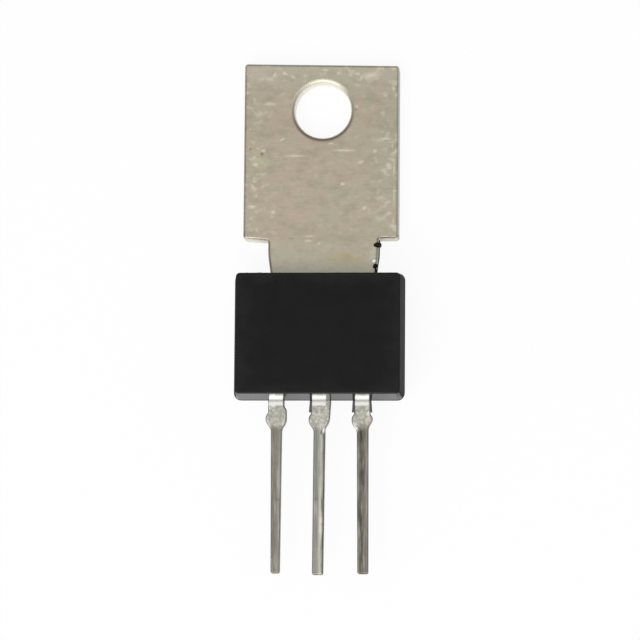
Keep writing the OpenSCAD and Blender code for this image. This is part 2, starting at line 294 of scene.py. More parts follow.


# Burnished flecks and rubs, small dark pits, and a painted highlight: a white glint beside the flash.
TAB_RUBS = [
    ((2.90, 2.10), (0.75, 0.26), 6),
    ((2.30, 1.95), (0.20, 0.12), 50),
    ((0.10, 2.45), (0.30, 0.10), 0),
    ((0.92, 2.26), (0.16, 0.14), 60),
    ((2.05, 2.20), (0.20, 0.12), 0),
    ((-2.93, 2.13), (0.24, 0.16), 60),
    ((-2.33, 2.23), (0.16, 0.14), 0),
    ((-1.82, 2.02), (0.26, 0.12), -35),
    ((-3.20, 0.38), (0.40, 0.16), 0),
    ((-2.44, -1.78), (0.24, 0.10), 25),
    ((0.50, -2.03), (0.22, 0.08), 0),
    ((1.32, -2.45), (0.95, 0.09), 0),
    ((1.46, -2.45), (0.17, 0.12), 0),
    ((2.04, 0.20), (0.16, 0.12), -25),
    ((3.13, -2.50), (0.19, 0.13), 20),
    ((2.28, -3.17), (0.28, 0.14), 20),
    ((3.80, -1.76), (0.45, 0.09), 0),
    ((4.16, -2.19), (0.07, 0.16), 0),
    ((3.94, -3.35), (0.22, 0.20), 0),
    ((-1.70, -2.78), (0.75, 0.09), 0),
    ((-3.55, -2.45), (0.22, 0.12), 20),
    ((-4.02, -3.30), (0.22, 0.16), 0),
    ((-4.20, -5.85), (0.36, 0.14), 0),
    ((-0.75, -7.62), (0.45, 0.07), 0),
    ((-0.83, -7.92), (0.30, 0.10), 0),
    ((-0.18, -8.07), (0.15, 0.11), 40),
    ((1.20, -4.49), (0.18, 0.16), 0),
    ((2.50, -5.94), (0.16, 0.14), 60),
    ((-2.94, -6.17), (0.18, 0.16), 0),
    ((4.27, -3.60), (0.06, 0.7), 0),
    ((4.27, -5.25), (0.05, 0.8), 0),
    ((4.25, -6.75), (0.06, 0.3), 0),
    ((4.24, 1.20), (0.07, 0.25), 0),
]
TAB_PITS = [((1.98, 0.00), (0.12, 0.09), 0), ((-3.64, -2.65), (0.15, 0.13), 0),
            ((-4.32, -2.35), (0.09, 0.07), 0)]
TAB_PAINTED_GLINTS = [((3.11, -9.13), (0.14, 0.11), 20)]
# Patches where the bath left a tint, each with its colour. The one beside the flash also holds painted
# light.
TAB_TINTS = [
    ((-3.55, 2.00), (1.30, 0.85), 0, "#C0B0A4"),
    ((-3.90, -3.15), (0.75, 0.85), 0, "#BBB697"),
    ((1.40, -8.90), (1.70, 0.62), 0, "#BCAF8D"),
    # Partly a tint and partly the painted light of a weaker glint beside the flash.
    ((3.06, -8.75), (0.26, 0.62), 0, "#CCD2C1"),
    ((0.50, 2.20), (0.35, 0.30), 0, "#A9967F"),
    ((2.75, 0.60), (0.30, 0.90), 0, "#A3A68F"),
    ((2.55, -0.70), (0.60, 0.35), -40, "#B8A08D"),
]
print("marks on the tab:", len(TAB_RUBS + TAB_PITS + TAB_PAINTED_GLINTS + TAB_TINTS))

# %% [markdown]
# ## Tin plate on the tab
#
# The tab is copper alloy with a matt tin plate, tumbled in a barrel after punching. The plate is a
# warm grey metal with no clear reflection. Tumbling leaves scuffs, most of them near the rim, and
# the strip's rolling lines run across the tab. One Principled shader at full metallic does this: its
# colour drifts between close tints, its roughness follows a coarse grain, and its bump is only a few
# microns high.
#
# The edges get painted light and shade. The hole's wall and the ears' lower edges are painted nearly
# white, as if lit, and the tab's right wall is painted pale. The roll round the hole has a painted
# highlight on its upper left and painted shade elsewhere, darkest on its lower side. The neck's left wall
# gets painted shade. These layers read where a spot is and which way its face looks.

# %% Tin plate on the tab
HIGHLIGHT_TURN = math.radians(24)


def plate_tone(add, spot, y, rim):
    """The colour of the plate: warm in the middle, greener near the rim, with painted light near the
    block.
    """
    broad = grain(add, spot, 2.2, (1.2, 0.9, 1), 3)
    hue = grain(add, spot, 0.75, (1.2, 1, 1))
    drift = add("MapRange", [broad, 0.35, 0.65, -0.2, 0.4])
    by_rim = add("Math", [rim, 0.45], operation="MULTIPLY")
    return lay_over(add, "#B2A594", [
        (add("Math", [by_rim, drift], operation="ADD", use_clamp=True), "#A9A995"),
        (add("MapRange", [hue, 0.55, 0.75, 0.0, 0.45]), "#B9A293"),
        (add("MapRange", [hue, 0.45, 0.25, 0.0, 0.45]), "#ABAE93"),
        # Painted light: paler towards the block, to offset the shade that the block throws on the neck.
        (add("MapRange", [y, BODY_TOP + 2.4, BODY_TOP]), "#CDCBB8"),
    ])


def plate_wear(add, spot, y, rim, blotch, rolled):
    """Layers for the bath's tints, the stains, the rolling lines, the flecks, the marks and a painted
    white glint.
    """
    layers = []
    loose = ragged(add, spot, 0.22, 0.45)
    for *where, tint in TAB_TINTS:
        patch = ellipse(add, loose, *where, 0.9)
        layers.append((add("Math", [patch, 0.8], operation="MULTIPLY"), tint))
    fleck = add("MapRange", [grain(add, spot, 0.34, (1.3, 1, 1)), 0.54, 0.72])
    by_rim = add("MapRange", [rim, 0.0, 1.0, 0.15, 0.7])
    slight = ragged(add, spot, 0.12, 0.14)
    rubs = all_marks(add, slight, TAB_RUBS, 0.9)
    pits = all_marks(add, slight, TAB_PITS, 0.7)
    return layers + [
        (add("MapRange", [blotch, 0.58, 0.3, 0.0, 0.5]), "#948D7B"),
        (add("MapRange", [rolled, 0.5, 0.7, 0.0, 0.15]), "#C4BCA9"),
        (add("MapRange", [y, 0.9, END_Y, 0.0, 0.4]), "#C3BDAD"),
        (add("Math", [fleck, by_rim], operation="MULTIPLY"), "#CFCBB4"),
        (add("Math", [rubs, 0.55], operation="MULTIPLY"), "#E2DAC6"),
        (add("Math", [pits, 0.6], operation="MULTIPLY"), "#5E5A48"),
        # A painted highlight: a pure white glint beside the flash.
        (all_marks(add, slight, TAB_PAINTED_GLINTS, 0.6), "#FFFFFF"),
    ]


def painted_wall_light(add, y, facing_x):
    """Painted light and shade: a pale right wall on the tab and a darker left wall on the neck."""
    past_ear = add("MapRange", [y, EAR_Y - 0.15, EAR_Y - 0.1])
    below_ear = add("Math", [1.0, past_ear], operation="SUBTRACT")
    to_right = add("MapRange", [facing_x, 0.2, 0.8])
    to_left = add("MapRange", [facing_x, -0.05, -0.4])
    # Painted light on the tab's right wall and painted shade on the neck's left wall.
    return [(add("Math", [to_right, past_ear], operation="MULTIPLY"), "#C8C8C3"),
            (add("Math", [to_left, below_ear], operation="MULTIPLY"), "#9C9688")]


def painted_hole_light(add, x, y):
    """Painted light and shade round the hole: shade on the roll, a highlight on its upper left, and a
    wall painted nearly white.
    """
    flat = add("CombineXYZ", [x, y])
    out = add("VectorMath", [flat], operation="LENGTH")
    along_y = add("Math", [y, math.cos(HIGHLIGHT_TURN)], operation="MULTIPLY")
    along_x = add("Math", [x, math.sin(HIGHLIGHT_TURN)], operation="MULTIPLY")
    up_left = add("Math", [along_y, along_x], operation="SUBTRACT")
    up_left = add("Math", [up_left, out], operation="DIVIDE")
    painted_highlight = add("MapRange", [up_left, 0.1, 0.85])
    up = add("Math", [y, out], operation="DIVIDE")
    painted_shade = add("MapRange", [up, -0.2, -0.7])
    roll_end = HOLE_R + HOLE_ROLL
    in_roll = add("MapRange", [out, roll_end + 0.02, roll_end - 0.1])
    # Painted shade on the roll, darkest on its lower side, a painted highlight on its upper left, and the
    # wall painted nearly white as if lit.
    return [(in_roll, lay_over(add, "#A39A8A", [(painted_shade, "#887F71")])),
            (add("Math", [in_roll, painted_highlight], operation="MULTIPLY"), "#BFB9A8"),
            (add("MapRange", [out, HOLE_R + 0.1, HOLE_R + 0.05]), "#F6F3E9")]


def painted_ear_light(add, y, facing_y):
    """Painted light and shade on the ears' lower edges: the tone follows how far the roll has turned
    down, darker on the roll and nearly white on the wall below.
    """
    off_ear = add("Math", [y, EAR_Y], operation="SUBTRACT")
    off_ear = add("Math", [off_ear], operation="ABSOLUTE")
    near = add("MapRange", [off_ear, 0.26, 0.22])
    down = add("Math", [facing_y, -1.0], operation="MULTIPLY")
    turned = add("MapRange", [down, 0.02, 0.08])
    # Painted shade where the roll turns, and painted light, nearly white, on the wall below it.
    tone = add("ValToRGB", [down],
               [(0.05, "#A59C8C"), (0.25, "#968E7F"), (0.62, "#D2CBBA"), (0.9, "#F6F3E9")])
    return [(add("Math", [near, turned], operation="MULTIPLY"), tone)]


def tin_plate():
    material, add = new_material("matt tin plate, barrel finished")
    spot = place_in_mm(add)
    x, y, _ = add("SeparateXYZ", [spot]).outputs
    blotch = grain(add, spot, 0.5, (1.3, 0.9, 1), 3)
    rolled = grain(add, spot, 0.14, (6, 0.8, 1))
    fine = grain(add, spot, 0.07)
    off_middle = add("Math", [x, (TAB_LEFT + TAB_RIGHT) / 2], operation="SUBTRACT")
    off_middle = add("Math", [off_middle], operation="ABSOLUTE")
    near_side = add("MapRange", [off_middle, 2.6, 4.5])
    near_end = add("MapRange", [y, 0.4, END_Y])
    rim = add("Math", [near_side, near_end], operation="MAXIMUM")
    normal = add("NewGeometry").outputs["Normal"]
    facing_x, facing_y, _ = add("SeparateXYZ", [normal]).outputs
    layers = plate_wear(add, spot, y, rim, blotch, rolled) + painted_wall_light(add, y, facing_x)
    layers += painted_hole_light(add, x, y) + painted_ear_light(add, y, facing_y)
    colour = lay_over(add, plate_tone(add, spot, y, rim), layers)
    coarse = add("Math", [rolled, 0.35], operation="MULTIPLY")
    fine = add("Math", [fine, 0.65], operation="MULTIPLY")
    height = add("Math", [coarse, fine], operation="ADD")
    bump = add("Bump", {"Height": height, "Strength": 0.35, "Distance": 4 * MICRON})
    rough = add("MapRange", [blotch, 0.3, 0.7, 0.42, 0.56])
    shader = add("BsdfPrincipled",
                 {"Base Color": colour, "Metallic": 1.0, "Roughness": rough, "Normal": bump})
    add("OutputMaterial", [shader])
    return material


TIN_PLATE = tin_plate()
print("material:", TIN_PLATE.name, "with", len(TIN_PLATE.node_tree.nodes), "nodes")

# %% [markdown]
# ## Solder dip on the leads
#
# The leads are dipped in solder up to a fraction of a millimetre from the block. The dip curdles on the
# shoulders and runs down each leg, where it freezes in long streaks, so the grain is drawn out along Y. A
# ramp gives each leg its tones from its left edge to its right one, and wanders a little: the solder's
# own tints, with painted shading and highlights of the leg's curved surface. Chips, smudges and bright
# drops sit where tables put them, and one spot at a lead's edge is a painted highlight.
#
# The short root that the dip doesn't reach keeps its bright plate, which is much smoother, and right at
# the block a thin band is darker. One material holds it all, with masks, because on the real lead it is
# one surface too.

# %% Solder dip on the leads
ROOT_L = 0.27
ROOT_HALF = 0.40
# Each leg's tones from edge to edge: the solder's own tints, with painted shading and highlights of its
# curved surface.
DIP_TINTS_AND_SHADING = {
    "emitter_lead": [(0.0, "#A09C92"), (0.2, "#6C675D"), (0.5, "#716D62"), (0.75, "#84827A"),
                     (1.0, "#A3A198")],
    "collector": [(0.0, "#8C8B81"), (0.35, "#777870"), (0.55, "#97968A"), (0.68, "#B2B1A3"),
                  (0.8, "#8E8E85"), (0.88, "#5F5F58"), (1.0, "#8C8C85")],
    "base_lead": [(0.0, "#A5A298"), (0.2, "#55534A"), (0.42, "#3F3E36"), (0.7, "#686359"),
                  (1.0, "#96928A")],
}
DIP_MARKS = {
    "emitter_lead": [
        ((-2.64, -20.9), (0.13, 0.75), 0, "#6B6459"),
        ((-2.43, -23.47), (0.20, 0.16), 0, "#66645A"),
        ((-2.45, -23.9), (0.18, 0.45), 0, "#7C7A70"),
        ((-2.72, -17.95), (0.16, 0.12), 30, "#D5D4C8"),
    ],
    "collector": [
        ((0.16, -19.47), (0.10, 0.25), -25, "#5B5A4C"),
        ((0.33, -19.36), (0.11, 0.24), -20, "#F2F2EC"),
        ((-0.15, -23.4), (0.12, 0.20), 0, "#6B6B62"),
        ((0.12, -24.9), (0.13, 0.9), 0, "#D2CFBF"),
        ((0.42, -17.86), (0.08, 0.10), 0, "#63635B"),
        ((0.42, -18.05), (0.09, 0.10), 0, "#DCDCD4"),
    ],
    "base_lead": [
        ((2.18, -19.26), (0.12, 0.28), 20, "#E2E5DD"),
        ((1.98, -18.17), (0.10, 0.16), 0, "#F0F0EC"),
        # A painted highlight at the lead's right edge.
        ((2.92, -18.35), (0.09, 0.20), -15, "#E6E2DA"),
        ((2.86, -18.70), (0.14, 0.15), 0, "#CDB596"),
    ],
}


def leg_tints_and_shading(add, spot, x, y, name):
    """The tints and painted shading across one leg: 0 is its left edge and 1 its right one, all the way
    down.
    """
    lead = LEADS[name]
    below = add("Math", [TAPER_FOOT, y], operation="SUBTRACT")
    lean = math.tan(math.radians(lead["lean"]))
    across = x
    slant = add("Math", [below, lean], operation="MULTIPLY")
    for operation, value in (("SUBTRACT", slant),
                             ("ADD", -(lead["x"] + SHAFT_SHIFT)),
                             ("DIVIDE", lead["widths"][0]),
                             ("ADD", 0.5)):
        across = add("Math", [across, value], operation=operation)
    drift = grain(add, spot, 0.9, (0.3, 1.6, 1))
    wander = add("MapRange", [drift, 0.3, 0.7, -0.07, 0.07])
    across = add("Math", [across, wander], operation="ADD")
    return add("ValToRGB", [across], DIP_TINTS_AND_SHADING[name])


def bright_root(add, x, y, cloud, middle):
    """1 on the bare plate between the dip, which ends unevenly, and the block."""
    uneven = add("Math", [cloud, 0.12], operation="MULTIPLY")
    uneven = add("Math", [y, uneven], operation="ADD")
    above = add("MapRange", [uneven, BODY_FOOT - ROOT_L, BODY_FOOT - ROOT_L + 0.08])
    beside = add("Math", [x, middle], operation="SUBTRACT")
    within = add("MapRange", [beside, ROOT_HALF + 0.04, ROOT_HALF - 0.04])
    return add("Math", [above, within], operation="MULTIPLY")


def solder_dip(name):
    material, add = new_material("solder dip over bright plate, " + name)
    spot = place_in_mm(add)
    x, y, _ = add("SeparateXYZ", [spot]).outputs
    streak = grain(add, spot, 0.11, (1, 14, 1), 3)
    cloud = grain(add, spot, 0.4, (1, 2.0, 1), 3)
    curd = grain(add, spot, 0.16, detail=3)
    lumpy = add("Math", [cloud, 0.5], operation="MULTIPLY")
    lumpy = add("Math", [y, lumpy], operation="ADD")
    loose = ragged(add, spot, 0.15, 0.16)
    root = bright_root(add, x, y, cloud, LEADS[name]["x"])
    colour = lay_over(add, "#9B9A8F", [
        (add("MapRange", [curd, 0.4, 0.65]), "#C6C5B9"),
        (add("MapRange", [lumpy, TAPER_FOOT + 0.55, TAPER_FOOT + 0.15]),
         leg_tints_and_shading(add, spot, x, y, name)),
        *[(ellipse(add, loose, *where, 0.8), tone) for *where, tone in DIP_MARKS[name]],
        (add("MapRange", [cloud, 0.62, 0.32, 0.0, 0.4]), "#807E74"),
        (add("MapRange", [streak, 0.5, 0.75, 0.0, 0.3]), "#D0CFC4"),
        (root, "#F0EEEA"),
        # Darker in a thin band right at the block.
        (add("MapRange", [y, BODY_FOOT - 0.11, BODY_FOOT - 0.03, 0.0, 0.5]), "#7A7871"),
    ])
    rough = add("MapRange", [root, 0, 1, 0.42, 0.12])
    bump = add("Bump", {"Height": streak, "Strength": 0.5, "Distance": 8 * MICRON})
    shader = add("BsdfPrincipled",
                 {"Base Color": colour, "Metallic": 1.0, "Roughness": rough, "Normal": bump})
    add("OutputMaterial", [shader])
    return material


SOLDER_DIPS = {name: solder_dip(name) for name in LEADS}
print("materials:", [material.name for material in SOLDER_DIPS.values()])

# %% [markdown]
# ## Moulded epoxy
#
# The block is transfer-moulded epoxy, filled with silica and coloured with carbon black. The mould's
# face is fine-eroded, which gives the front and the back a dark satin. The two side walls are satin
# too. The walls at the neck and at the leads are polished so that the block slides out, which is why
# they catch the table at a shallow angle. The thin flash beside the leads has torn, and is greyer.
#
# All four finishes share one function and differ in tone, IOR, roughness and the height of the
# grain. The tone lifts a little towards the block's rim, where handling has rubbed it. The IOR is
# lower than that of solid resin, because the filler at the surface breaks up its reflection.

# %% Moulded epoxy
FACE, SIDE, WALL, FILM = range(4)
# Each finish, in that order: its name, its dark and light tones, its tone at the rim, its IOR, the
# range of its roughness and the height of its grain in microns.
EPOXY_FINISHES = [
    ("filled epoxy, eroded mould face", "#0A0A0A", "#0F0F0F", "#1E1E1E", 1.21, (0.42, 0.52), 4),
    ("filled epoxy, satin mould wall", "#0A0A0A", "#0F0F0F", "#1E1E1E", 1.22, (0.6, 0.7), 2),
    ("filled epoxy, polished mould wall", "#111111", "#161616", "#1E1E1E", 1.28, (0.10, 0.16), 0.6),
    ("thin epoxy flash, torn", "#4A4244", "#5A5254", "#565052", 1.4, (0.5, 0.6), 4),
]


def rim_of_block(add, x, y):
    """How far out a spot lies on the block: 0 in its middle, 1 at its outline."""
    off_y = add("Math", [y, BODY_MID], operation="SUBTRACT")
    shares = []
    for off, half in ((x, BODY_HALF), (off_y, BODY_H / 2)):
        size = add("Math", [off], operation="ABSOLUTE")
        shares.append(add("Math", [size, half], operation="DIVIDE"))
    return add("Math", shares, operation="MAXIMUM")


def epoxy(name, dark, light, border, ior, rough, bump_um):
    material, add = new_material(name)
    spot = place_in_mm(add)
    x, y, _ = add("SeparateXYZ", [spot]).outputs
    cloud = grain(add, spot, 1.1, detail=3)
    speck = grain(add, spot, 0.05, detail=1)
    uneven = add("Math", [cloud, 0.4], operation="MULTIPLY")
    rim = add("Math", [rim_of_block(add, x, y), uneven], operation="ADD")
    base = add("ValToRGB", [cloud], [(0.35, dark), (0.65, light)])
    colour = lay_over(add, base, [
        (add("Math", [speck, 0.3], operation="MULTIPLY"), "#1C1C1B"),
        (add("MapRange", [rim, 0.95, 1.2, 0.0, 0.8]), border),
    ])
    bump = add("Bump", {"Height": speck, "Strength": 0.5, "Distance": bump_um * MICRON})
    shader = add("BsdfPrincipled",
                 {"Base Color": colour, "Metallic": 0.0, "IOR": ior, "Normal": bump,
                  "Roughness": add("MapRange", [cloud, 0.3, 0.7, *rough])})
    add("OutputMaterial", [shader])
    return material


EPOXIES = [epoxy(*finish) for finish in EPOXY_FINISHES]
print("materials:", [material.name for material in EPOXIES])

# %% [markdown]
# ## Helpers for stamped metal
#
# A stamping starts as a flat outline and gets its edges from the punch: the front edges are rolled
# over by the die, and the back edges are only broken a little by tumbling. So one function takes an
# outline, rounds its corners in plan, extrudes it and bevels the two rims by different amounts. Both
# large faces stay single polygons until then, because a bevel works cleanly on them.
#
# A punched hole isn't a plain cylinder. The metal is drawn in round the front rim, in a roll that is
# wider than it is deep, and tears a little wider near the back. The tool for it is half a profile,
# spun about the hole's axis.

# %% Helpers for stamped metal
SNAP = 1e-4


def flat_face(outline, z):
    """A single face in the plane at height z, from an outline in mm, anticlockwise."""
    bm = bmesh.new()
    points = [bm.verts.new((x, y, z)) for x, y in outline]
    bm.faces.new(points)
    return bm, points


def extrude_up(bm, rise):
    """Turns a flat face into a closed slab."""
    raised = bmesh.ops.extrude_face_region(bm, geom=bm.faces[:])
    tops = [part for part in raised["geom"] if isinstance(part, bmesh.types.BMVert)]
    bmesh.ops.translate(bm, vec=(0, 0, rise), verts=tops)
    bmesh.ops.recalc_face_normals(bm, faces=bm.faces)


def stamping(outline, low, thick, roll, back_break=0.025, corner=0.08, special=None):
    """A flat stamping from its outline. special gives other radii in plan, by point."""
    bm, points = flat_face(outline, low)
    radii = {i: corner for i in range(len(outline))}
    radii.update(special or {})
    for radius in sorted(set(radii.values())):
        if radius > 0:
            chosen = [points[i] for i, r in radii.items() if r == radius]
            bmesh.ops.bevel(bm, geom=chosen, offset=radius, segments=5, profile=0.5, material=-1,
                            affect="VERTICES")
    extrude_up(bm, thick)
    for height, size, steps in ((low + thick, roll, 5), (low, back_break, 2)):
        rim = [e for e in bm.edges if all(abs(v.co.z - height) < SNAP for v in e.verts)]
        bmesh.ops.bevel(bm, geom=rim, offset=size, segments=steps, profile=0.5, material=-1,
                        affect="EDGES")
    return bm


def punch(low, thick, radius, roll, dip, steps=96, arc=8):
    """The shape that a punch takes out, turned about Z: torn and wider at the back, rolled in front."""
    tear = low + thick * 0.35
    profile = [(0, low - 1), (radius + 0.06, low - 1), (radius + 0.06, low), (radius + 0.03, low + 0.03),
               (radius + 0.02, tear - 0.05), (radius, tear)]
    for i in range(arc + 1):
        angle = math.pi / 2 * i / arc
        profile.append((radius + roll * (1 - math.cos(angle)), low + thick - dip * (1 - math.sin(angle))))
    profile += [(radius + roll, low + thick + 1), (0, low + thick + 1)]
    bm = bmesh.new()
    chain = [bm.verts.new((r, 0, z)) for r, z in profile]
    edges = [bm.edges.new(pair) for pair in zip(chain, chain[1:])]
    bmesh.ops.spin(bm, geom=chain + edges, cent=(0, 0, 0), axis=(0, 0, 1), dvec=(0, 0, 0),
                   angle=2 * math.pi, steps=steps, use_merge=True, use_duplicate=False)
    bmesh.ops.remove_doubles(bm, verts=bm.verts, dist=SNAP)
    bmesh.ops.recalc_face_normals(bm, faces=bm.faces)
    return bm


def measured(bm):
    """How many edges don't have two faces, and the volume in mm3."""
    loose = sum(1 for e in bm.edges if not e.is_manifold)
    return f"open edges: {loose}  volume: {round(bm.calc_volume(), 3)} mm3"


print("stamping helpers ready")

# %% [markdown]
# ## Helpers for joining
#
# Metal that is one piece should be one closed mesh, and epoxy that was moulded round something has
# its exact hollow. A Boolean does both. As a live modifier it would need its tools in the scene, so
# the result is taken as a new mesh, and the tools are thrown away.

# %% Helpers for joining


def to_object(bm, name):
    """An object with the mesh of a bmesh, which is used up."""
    mesh = bpy.data.meshes.new(name)
    bm.to_mesh(mesh)
    bm.free()
    made = bpy.data.objects.new(name, mesh)
    bpy.context.scene.collection.objects.link(made)
    return made


def joined(base, others, operation):
    """The base mesh after an exact Boolean with each of the others, as a new bmesh."""
    for other in others:
        step = base.modifiers.new("join", "BOOLEAN")
        step.operation = operation
        step.solver = "EXACT"
        step.object = other
    bpy.context.view_layer.update()
    ready = base.evaluated_get(bpy.context.evaluated_depsgraph_get())
    bm = bmesh.new()
    bm.from_mesh(ready.to_mesh())
    ready.to_mesh_clear()
    return bm


def discard(*objects):
    for made in objects:
        mesh = made.data
        bpy.data.objects.remove(made)
        bpy.data.meshes.remove(mesh)


print("joining helpers ready")

# %% [markdown]
# ## The stamped frame
#
# Tab, neck, chip pad and middle lead are one stamping of two gauges. The heavy part is an outline
# with uneven ears and a hole near its free end. The middle lead is a strip that starts level with the
# pad's face and climbs to the plane of the leads inside the block. The strip is cut across several
# times where it bends, and each cut is lifted along a smooth curve. A Boolean joins the two, so that
# the frame is one closed mesh, as the metal is one piece.
#
# All three leads have the same plan with other numbers, so one function draws it. Trimming left the
# dam bar's stubs uneven, and the right stub of the middle lead runs up into the block.

# %% The stamped frame
PLATE = [
    (TAB_LEFT, EAR_Y),
    (NECK_SHIFT - NECK_HALF, EAR_Y - EAR_DROP),
    (NECK_SHIFT - NECK_HALF, BEND_Y),
    (NECK_SHIFT - FOOT_HALF, NECK_ROOT),
    (NECK_SHIFT - FOOT_HALF, PAD_FOOT),
    (NECK_SHIFT + FOOT_HALF, PAD_FOOT),
    (NECK_SHIFT + FOOT_HALF, NECK_ROOT),
    (NECK_SHIFT + NECK_HALF, BEND_Y),
    (NECK_SHIFT + NECK_HALF, EAR_Y),
    (TAB_RIGHT, EAR_Y),
    (TAB_RIGHT, END_Y - END_RISE),
    (TAB_LEFT, END_Y + END_RISE),
]
# Radii in plan: of the tab's corners, of the outline's points that differ, and of a lead's points
# from the block down to the tip, which are the same on its left and its right.
TAB_CORNER = 0.19
PLATE_CORNERS = {1: 0.12, 2: 0.4, 3: 0, 6: 0, 7: 0.4, 8: 0.12}
LEAD_SIDE = (0, 0.08, 0.12, 0.16, 0.14, 0.12)
LEAD_CORNERS = dict(enumerate(LEAD_SIDE + LEAD_SIDE[::-1]))
LEAD_ROLL = 0.08
# Where the middle lead climbs, and how many cuts bend it.
RISE_START = PAD_FOOT - 0.2
RISE_END = RISE_START - 1.0
RISE_CUTS = 14


def lead_outline(x, shoulders, stubs, skew, widths, lean, top, tip):
    """Plan of one lead, anticlockwise, from its top down the left side and back up the right."""
    shaft = x + SHAFT_SHIFT
    drift = math.tan(math.radians(lean)) * (TAPER_FOOT - tip)
    left, right_side = [[
        (x + side * SHOULDER_W / 2, top),
        (x + side * SHOULDER_W / 2, BODY_FOOT - shoulder),
        (x + side * stub, BODY_FOOT - shoulder - STUB_SLOPE),
        (x + side * STUB_HALF, STUB_FOOT + side * skew),
        (shaft + side * widths[0] / 2, TAPER_FOOT + side * skew),
        (shaft + side * widths[1] / 2 + drift, tip),
    ] for side, shoulder, stub in zip((-1, 1), shoulders, stubs)]
    return left + right_side[::-1]


def smooth_step(t):
    t = min(max(t, 0.0), 1.0)
    return t * t * (3 - 2 * t)


tab = stamping(PLATE, 0, TAB_T, DIE_ROLL, corner=TAB_CORNER, special=PLATE_CORNERS)
middle_plan = lead_outline(**LEADS["collector"], top=PAD_FOOT + LEAD_T, tip=frame_low.y)
middle = stamping(middle_plan, LEAD_BACK, LEAD_T, LEAD_ROLL, special=LEAD_CORNERS)
for i in range(RISE_CUTS + 1):
    cut_y = RISE_START + (RISE_END - RISE_START) * i / RISE_CUTS
    bmesh.ops.bisect_plane(middle, geom=middle.verts[:] + middle.edges[:] + middle.faces[:],
                           plane_co=(0, cut_y, 0), plane_no=(0, 1, 0))
for vert in middle.verts:
    vert.co.z -= (PARTING - TAB_T) * smooth_step((vert.co.y - RISE_END) / (RISE_START - RISE_END))
print("tab", measured(tab), " middle lead", measured(middle))
parts = [to_object(bm, "part") for bm in (tab, middle)]
whole = to_object(joined(parts[0], parts[1:], "UNION"), "whole")
hole_punch = to_object(punch(0, TAB_T, HOLE_R, HOLE_ROLL, HOLE_DIP), "punch")
frame_mesh = joined(whole, [hole_punch], "DIFFERENCE")
discard(whole, hole_punch, *parts)
print("frame", measured(frame_mesh))

# %% [markdown]
# ## The outer leads
#
# Each outer lead is a flat stamping: a wide bonding post inside the block, a shoulder with the stubs
# of the cut-off dam bar, and a long straight leg. The same stamping function makes them. The legs
# narrow a little towards their tips, by a different amount each, as the dip runs off them.

# %% The outer leads
POST_FOOT = BODY_FOOT + 0.7
POST_TOP = POST_FOOT + 1.3
POST_IN = SHOULDER_W / 2 + 0.55
POST_OUT = BODY_HALF - 1.1


def outer_lead(name):
    side = math.copysign(1, LEADS[name]["x"])
    outline = lead_outline(**LEADS[name], top=POST_FOOT, tip=node_box(name)[0].y)
    low_x, high_x = sorted((side * POST_OUT, side * POST_IN))
    outline += [(high_x, POST_FOOT), (high_x, POST_TOP), (low_x, POST_TOP), (low_x, POST_FOOT)]
    return stamping(outline, LEAD_BACK, LEAD_T, LEAD_ROLL, corner=0.12, special=LEAD_CORNERS)


lead_meshes = {name: outer_lead(name) for name in ("emitter_lead", "base_lead")}
for name, bm in lead_meshes.items():
    print(name, measured(bm))

# %% [markdown]
# ## The moulded block
#
# The block is built from rounded rectangles, one at each height where the mould changes: the back,
# the parting line and the front. Their corner radii shrink with the draft, as they do on a real
# mould, where the corner is part of a cone. The front half of the mould is a hair smaller than the
# back half, so the parting line has a small ledge. Bridging the loops makes the walls.
#
# The ledge lies a hundredth of a millimetre below the front of the leads, because an exact Boolean
# can fail where two faces share a plane.

# %% The moulded block
LEDGE = 0.02
SEAM_DROP = 0.01
FRONT_RIM = 0.09
BACK_RIM = 0.04


def rounded_loop(bm, inset, z, steps=6):
    """The edges of a rounded rectangle at height z, drawn in from the block's outline by inset."""
    half_w, half_h, radius = BODY_HALF - CORNER_R, BODY_H / 2 - CORNER_R, CORNER_R - inset
    ring = []
    for sx, sy, start in ((1, 1, 0), (-1, 1, 90), (-1, -1, 180), (1, -1, 270)):
        for i in range(steps + 1):
            angle = math.radians(start + 90 * i / steps)
            ring.append(bm.verts.new((sx * half_w + radius * math.cos(angle),
                                      BODY_MID + sy * half_h + radius * math.sin(angle), z)))
    return ring, [bm.edges.new(pair) for pair in zip(ring, ring[1:] + ring[:1])]


def moulded_block():
    bm = bmesh.new()
    parting = PARTING - SEAM_DROP
    levels = [(DRAFT * PARTING, 0), (0, parting), (LEDGE, parting),
              (LEDGE + DRAFT * (BODY_FRONT - PARTING), BODY_FRONT)]
    loops = [rounded_loop(bm, inset, z) for inset, z in levels]
    for (_, below), (_, above) in zip(loops, loops[1:]):
        bmesh.ops.bridge_loops(bm, edges=below + above)
    bm.faces.new(loops[0][0])
    bm.faces.new(loops[-1][0])
    bmesh.ops.recalc_face_normals(bm, faces=bm.faces)
    for (_, rim), size in ((loops[-1], FRONT_RIM), (loops[0], BACK_RIM)):
        bmesh.ops.bevel(bm, geom=rim, offset=size, segments=4, profile=0.5, material=-1, affect="EDGES")
    return bm


block = moulded_block()
print("block", measured(block))

# %% [markdown]
# ## Flash, gate scar and ejector marks
#
# Epoxy leaves traces where the mould didn't seal. It stands as thin films beside the shoulders of two
# leads, up to where the dam bar was, and it crept along the right wall of the neck and set in drops
# on the neck's front edge and under the ear. The films are slabs and the drops are spheres, pushed
# about by smooth noise so that no two edges match. The runner's scar is a rough lump, and two round
# pins leave flat marks on the back. All are joined to the block or cut from it before the metal is.
#
# Blender seeds its noise from the clock unless it is told otherwise, so the seed is set first. Noise
# also bends four-sided faces, which a Boolean can split in more than one way, so each lump is cut
# into triangles. Both keep the result the same in every run.

# %% Flash, gate scar and ejector marks
FLASH_L = 0.66
PIN_R = 0.65
PIN_DEPTH = 0.06
PIN_INSET = 1.25
noise.seed_set(11)


